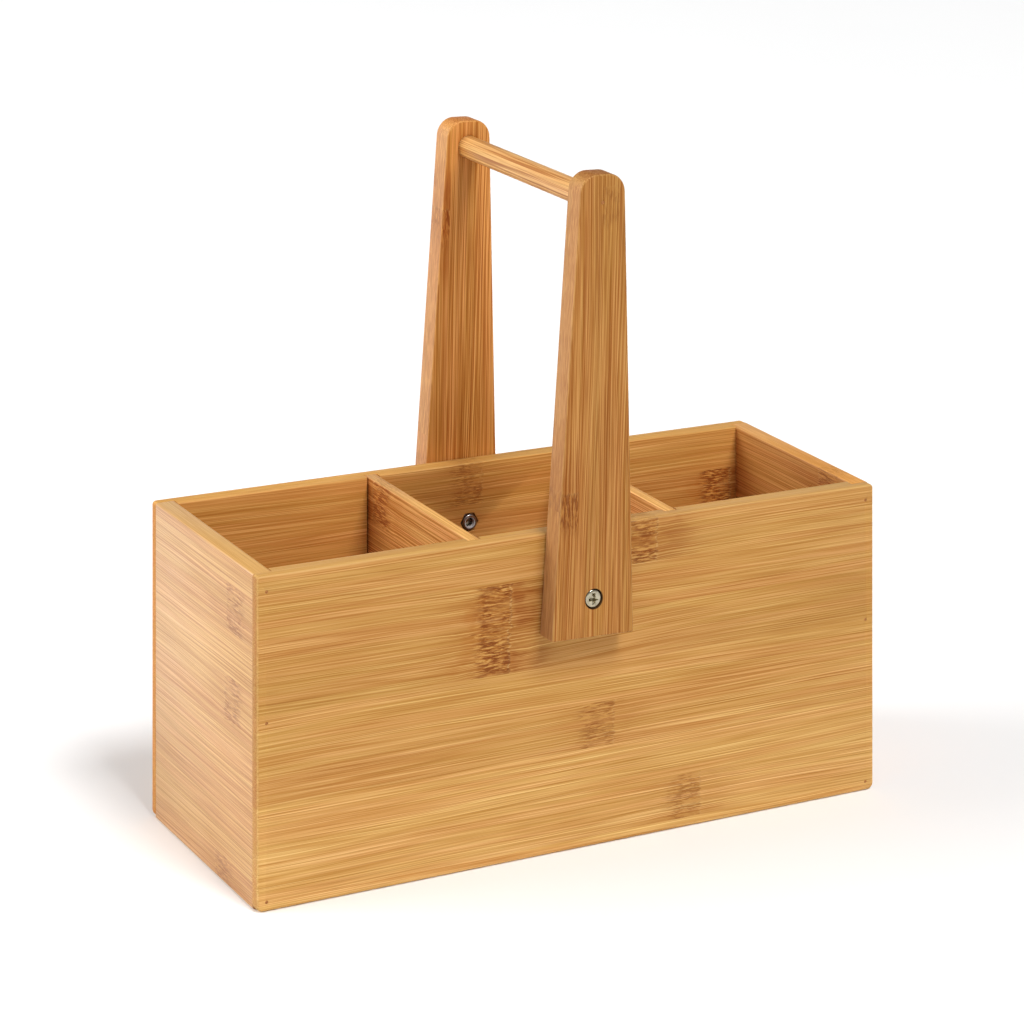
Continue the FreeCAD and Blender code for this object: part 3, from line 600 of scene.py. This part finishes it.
def mark_faces(piece, wanted):
    """Enters edit mode with the faces selected whose middle and normal wanted() accepts."""
    take(piece)
    bpy.ops.object.mode_set(mode="EDIT")
    bpy.ops.mesh.select_mode(type="FACE")
    bpy.ops.mesh.select_all(action="DESELECT")
    bpy.ops.object.mode_set(mode="OBJECT")
    for face in piece.data.polygons:
        face.select = bool(wanted(face.center * 1000, face.normal))
    bpy.ops.object.mode_set(mode="EDIT")


def grow(push, size_ratio):
    """Extrudes the marked face along Y by push, and scales its new end about the pivot's axis."""
    bpy.ops.mesh.extrude_region_move(TRANSFORM_OT_translate={"value": (0, push / 1000, 0)})
    if size_ratio != 1:
        bpy.ops.transform.resize(value=(size_ratio, 1, size_ratio), center_override=PIVOT)


front_arm = saw("front_arm", (-FOOT_WIDTH / 2, ARM_FACE, ARM_FOOT),
                (FOOT_WIDTH / 2, ARM_INSIDE, ARM_TIP))
mark_faces(front_arm, lambda middle, normal: normal.z > 0.9)
bpy.ops.transform.resize(value=(TIP_WIDTH / FOOT_WIDTH, 1, 1), center_override=PIVOT)
bpy.ops.object.mode_set(mode="OBJECT")
sand(front_arm, 7.2, 14, lambda a, b: near(a.z, ARM_TIP) and near(b.z, ARM_TIP) and near(a.x, b.x))
sand(front_arm, 0.8, 4, lambda a, b: near(a.y, b.y) or near(a.z, ARM_FOOT) and near(b.z, ARM_FOOT))
seat_cutter = drill("countersink", 0, PIVOT_HEIGHT, SEAT_WIDTH, -61, SEAT_FLOOR, sides=64)
# the straight seat goes on into a cone, and the cone into the bore
mark_faces(seat_cutter, lambda middle, normal: normal.y > 0.9)
grow(1.0, 1)
grow(1.9, BORE / SEAT_WIDTH)
grow(9, 1)
bpy.ops.object.mode_set(mode="OBJECT")
cut(front_arm, seat_cutter)
cut(front_arm, drill("dowel_socket", 0, DOWEL_HEIGHT, SOCKET_WIDTH, SOCKET_FLOOR, -50, sides=64))
cut(front_arm, drill("brad_hole", 0, DOWEL_HEIGHT, ARM_BRAD_HOLE, -61, ARM_BRAD_HOLE_FLOOR, sides=20))
back_arm = turn_half(front_arm, "back_arm")
FRONT_ARM_STRIPS = ((84, 0.4, 0.5), (36, 0.65, 0.55), (-60, 0.0, 0.5), (154, 0.25, 0.5), (60, 0.0, 0.46),
                    (88, 0.5, 0.5))
BACK_ARM_STRIPS = ((20, 0.3, 0.5), (122, 0.95, 0.52), (60, 0.0, 0.48), (-50, 0.0, 0.46), (90, 0.0, 0.47),
                   (30, 0.3, 0.5))
pivot_shift = Matrix.Rotation(-ARM_LEAN, 3, "Y") @ Vector((0, 0, PIVOT_HEIGHT))
# the two arms are one bamboo tinted apart: the back arm's lighter tint is painted light, making up for
# the shade it stands in, and the edge colours paint the front arm's sides lighter than the back's
for arm, node, strips, seed, tint, edge in (
        (front_arm, "front_handle_arm", FRONT_ARM_STRIPS, 13.0, (0.64, 0.56, 0.49), (0.88, 0.54, 0.29)),
        (back_arm, "back_handle_arm", BACK_ARM_STRIPS, 37.0, (0.93, 0.76, 0.67), (0.63, 0.48, 0.31))):
    ease(arm, 0.15, 40)
    bpy.ops.transform.rotate(value=-ARM_LEAN, orient_axis="Y", center_override=PIVOT)
    settle(arm)
    dress(arm, bamboo(arm.name + "_bamboo", "ZXY", -24, 8.0, strips, seed, turn=(0, -ARM_LEAN, 0),
                      shift=tuple(-pivot_shift), fine=1.25, contrast=1.8, tint=tint, gloss=0.12,
                      edge=edge, scorch_and_shade_radius=4.05))
    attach(arm, "handle")
    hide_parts(node)


# ---------------------------------------------------------------- grip dowel
# A turned bamboo dowel, 9.5 mm through, glued into a blind hole in each arm. The fibres show as
# bold lines from end to end.

dress(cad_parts["handle_dowel"], bamboo(
    "dowel_bamboo", "YZX", 60, 400, ((-300, 0.0, 0.55),), 53.0, fine=1.0, contrast=2.6,
    tint=(0.88, 0.85, 0.86), rounded=True))
for node in ("front_dowel_brad", "back_dowel_brad"):
    dress(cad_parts[node], brown_steel)


# ---------------------------------------------------------------- pivot screws
# Countersunk cross-recess machine screws, nickel plated. Each goes through an arm and a wall into
# a lock nut, and its head sits just below the arm's face.

HEAD_WIDTH, SHANK_WIDTH = 6.9, 4.0
HEAD_TOP, HEAD_UNDER = -59.75, -59.55
HALF_SLOT, SLOT_REACH = 0.75, 2.4
front_screw = drill("front_screw_blank", 0, PIVOT_HEIGHT, HEAD_WIDTH, HEAD_TOP, HEAD_UNDER, sides=64)
# the head's low dome, ring by ring, then its cone, the shank and the shank's chamfered end
mark_faces(front_screw, lambda middle, normal: normal.y < -0.9)
for push, ratio in ((-0.16, 0.93), (-0.12, 0.88), (-0.09, 0.82), (-0.06, 0.72), (-0.03, 0.5)):
    grow(push, ratio)
bpy.ops.object.mode_set(mode="OBJECT")
mark_faces(front_screw, lambda middle, normal: normal.y > 0.9)
for push, ratio in ((1.45, SHANK_WIDTH / HEAD_WIDTH), (13.6, 1), (0.45, 0.76)):
    grow(push, ratio)
bpy.ops.object.mode_set(mode="OBJECT")
# the cross recess narrows towards its floor, where the driver's point has left a pit
for quarter in (0, 1):
    blade = saw("driver_blade", (-SLOT_REACH, -60.4, PIVOT_HEIGHT - HALF_SLOT),
                (SLOT_REACH, -58.1, PIVOT_HEIGHT + HALF_SLOT))
    mark_faces(blade, lambda middle, normal: normal.y > 0.9)
    bpy.ops.transform.resize(value=(0.42, 1, 0.6), center_override=PIVOT)
    bpy.ops.object.mode_set(mode="OBJECT")
    take(blade)
    bpy.ops.transform.rotate(value=-math.radians(90 * quarter), orient_axis="Y", center_override=PIVOT)
    cut(front_screw, settle(blade))
point = drill("driver_point", 0, PIVOT_HEIGHT, 2.6, -60.4, -58.4, sides=16)
mark_faces(point, lambda middle, normal: normal.y > 0.9)
bpy.ops.transform.resize(value=(0.3, 1, 0.3), center_override=PIVOT)
bpy.ops.object.mode_set(mode="OBJECT")
cut(front_screw, point)
ease(front_screw, 0.05, 40)
front_screw.name = "front_screw"
back_screw = turn_half(front_screw, "back_screw")
nickel = steel("nickel_plate", (0.50, 0.45, 0.33), 0.17, 0.14, 9.0,
               dirt=(0.10, 0.07, 0.03), dirt_share=0.25)
for screw, node in ((front_screw, "front_pivot_screw"), (back_screw, "back_pivot_screw")):
    dress(screw, nickel)
    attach(screw, "caddy")
    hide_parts(node)


# ---------------------------------------------------------------- lock nuts
# Steel hexagon nuts with a round collar rolled over a nylon ring, let into the inner faces of the
# walls until little but the collar stands out. They hold the handle's friction.

NUT_WIDTH, NUT_SEAT, NUT_SHOULDER = 7.0, -46.05, -43.35
COLLAR_WIDTH, COLLAR_FACE = 6.4, -41.42
MOUTH_WIDTH, CAVITY_WIDTH = 5.0, 5.4
front_nut = drill("front_nut_blank", 0, PIVOT_HEIGHT, NUT_WIDTH / CORNER_TO_FLAT,
                  NUT_SEAT, NUT_SHOULDER, sides=6)
# both faces of the hexagon are chamfered
for way in (-1, 1):
    mark_faces(front_nut, lambda middle, normal: normal.y * way > 0.9)
    grow(way * 0.35, 0.9)
    bpy.ops.object.mode_set(mode="OBJECT")
take(front_nut)
bpy.ops.transform.rotate(value=math.pi / 6, orient_axis="Y", center_override=PIVOT)
settle(front_nut)
collar = drill("collar", 0, PIVOT_HEIGHT, COLLAR_WIDTH, -43.2, COLLAR_FACE, sides=64)
sand(collar, 0.45, 4, lambda a, b: near(a.y, COLLAR_FACE) and near(b.y, COLLAR_FACE))
cut(front_nut, collar, "UNION")
cut(front_nut, drill("mouth", 0, PIVOT_HEIGHT, MOUTH_WIDTH, -41.75, -41, sides=64))
cut(front_nut, drill("cavity", 0, PIVOT_HEIGHT, CAVITY_WIDTH, -43, -41.68, sides=64))
cut(front_nut, drill("bore", 0, PIVOT_HEIGHT, BORE, -47, -42, sides=48))
ease(front_nut, 0.06, 40)
front_nut.name = "front_nut"
back_nut = turn_half(front_nut, "back_nut")
dark_steel = steel("nut_steel_dark", (0.42, 0.41, 0.42), 0.28, 0.2, 15.0,
                   dirt=(0.08, 0.05, 0.03), dirt_share=0.5)
for nut, node in ((front_nut, "front_lock_nut"), (back_nut, "back_lock_nut")):
    dress(nut, dark_steel)
    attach(nut, "caddy")
    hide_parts(node)


def nylon(name):
    """Milky nylon, pressed and slightly marked."""
    finish = bpy.data.materials.new(name)
    finish.use_nodes = True
    tree = finish.node_tree
    shader = tree.nodes["Principled BSDF"]
    place = put(tree, "TexCoord").outputs["Object"]
    marks = cloud(tree, place, (1500, 1500, 1500), 2.0, 3.0)
    tree.links.new(stain(tree, marks, (0.50, 0.49, 0.50, 1), (0.70, 0.68, 0.68, 1)),
                   shader.inputs["Base Color"])
    tree.links.new(reckon(tree, "MULTIPLY_ADD", marks, 0.2, 0.3), shader.inputs["Roughness"])
    relief = put(tree, "Bump", {"Strength": 0.4, "Distance": 0.00003, "Height": marks})
    tree.links.new(relief.outputs[0], shader.inputs["Normal"])
    return finish


milky = nylon("nylon_milky")
for node in ("front_nut_ring", "back_nut_ring"):
    dress(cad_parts[node], milky)


# ---------------------------------------------------------------- floor, lights and camera
# A plain white table, a broad lamp high in front and a soft one at the left in a pale room, and a
# camera whose film stays upright while its lens is shifted down, so that uprights stay upright.

clear_bench()
bpy.ops.mesh.primitive_plane_add(size=24, location=(0, 0, -0.0002))
floor = bpy.context.object
floor.name = "floor"
white = bpy.data.materials.new("white_table")
white.use_nodes = True
paint = white.node_tree
mottle = cloud(paint, put(paint, "TexCoord").outputs["Object"], (3, 3, 3), 1.0)
paint.links.new(stain(paint, mottle, (0.95, 0.95, 0.95, 1), (0.98, 0.98, 0.98, 1)),
                paint.nodes["Principled BSDF"].inputs["Base Color"])
paint.nodes["Principled BSDF"].inputs["Roughness"].default_value = 0.8
floor.data.materials.append(white)

# the room's walls are bright to just over the height of the table, and its ceiling is dimmer
room = bpy.data.worlds.new("pale_room")
bpy.context.scene.world = room
room.use_nodes = True
air = room.node_tree
way_up = put(air, "SeparateXYZ", {0: put(air, "TexCoord").outputs["Generated"]}).outputs[2]
air.links.new(ramp(air, way_up, 0.11, 0.20, 1.0, 0.27), air.nodes["Background"].inputs["Strength"])
air.nodes["Background"].inputs["Color"].default_value = (1.0, 1.0, 1.0, 1)


def soft_light(kind, name, place, aim, power, **settings):
    """A soft lamp, turned to face a point."""
    turn = (Vector(aim) - Vector(place)).to_track_quat("-Z", "Y").to_euler()
    bpy.ops.object.light_add(type=kind, location=place, rotation=turn)
    lamp = bpy.context.object
    lamp.name = name
    lamp.data.energy = power
    for key, value in settings.items():
        setattr(lamp.data, key, value)


soft_light("SUN", "top_light", (0.28, -1.42, 2.0), (0, 0, 0), 2.6, angle=math.radians(24))
soft_light("AREA", "left_light", (-1.8, 0.75, 1.2), (0, 0, 0.1), 35.0, size=1.4)

# The frame's side, the lens's length and the point square to the film are in points of the frame.
# The film's level axis leans a little, which the camera's stand takes on: a camera can't.
FRAME_SIDE, FILM_WIDTH = 1024, 36
LENS = 3392.44
SQUARE_X, SQUARE_Y = 506.054, -559.715
FILM_LEAN = 0.0275
YAW = math.radians(-28.8359)
EYE = Vector((-0.66587, -1.19886, 0.55005))
ahead = Vector((-math.sin(YAW), math.cos(YAW), 0))
right = Vector((math.cos(YAW), math.sin(YAW), 0))
up = Vector((0, 0, 1))
to_right = FRAME_SIDE / 2 - SQUARE_X
to_down = (FRAME_SIDE / 2 - SQUARE_Y) - FILM_LEAN * to_right
through = ahead + right * (to_right / LENS) - up * (to_down / LENS)
film = Matrix.Identity(4)
for column, axis in enumerate((right + up * FILM_LEAN, up, -through / through.length, EYE)):
    film.col[column][:3] = axis
clear_bench()
bpy.ops.object.camera_add()
camera = bpy.context.object
bpy.ops.object.empty_add()
stand = bpy.context.object
camera.parent = stand
camera.matrix_parent_inverse = film
camera.data.sensor_width = FILM_WIDTH
camera.data.lens = LENS * through.length / FRAME_SIDE * FILM_WIDTH
camera.data.clip_start = 0.1
bpy.context.scene.camera = camera
bpy.context.scene.view_settings.view_transform = "Standard"

clear_bench()
bpy.context.view_layer.update()
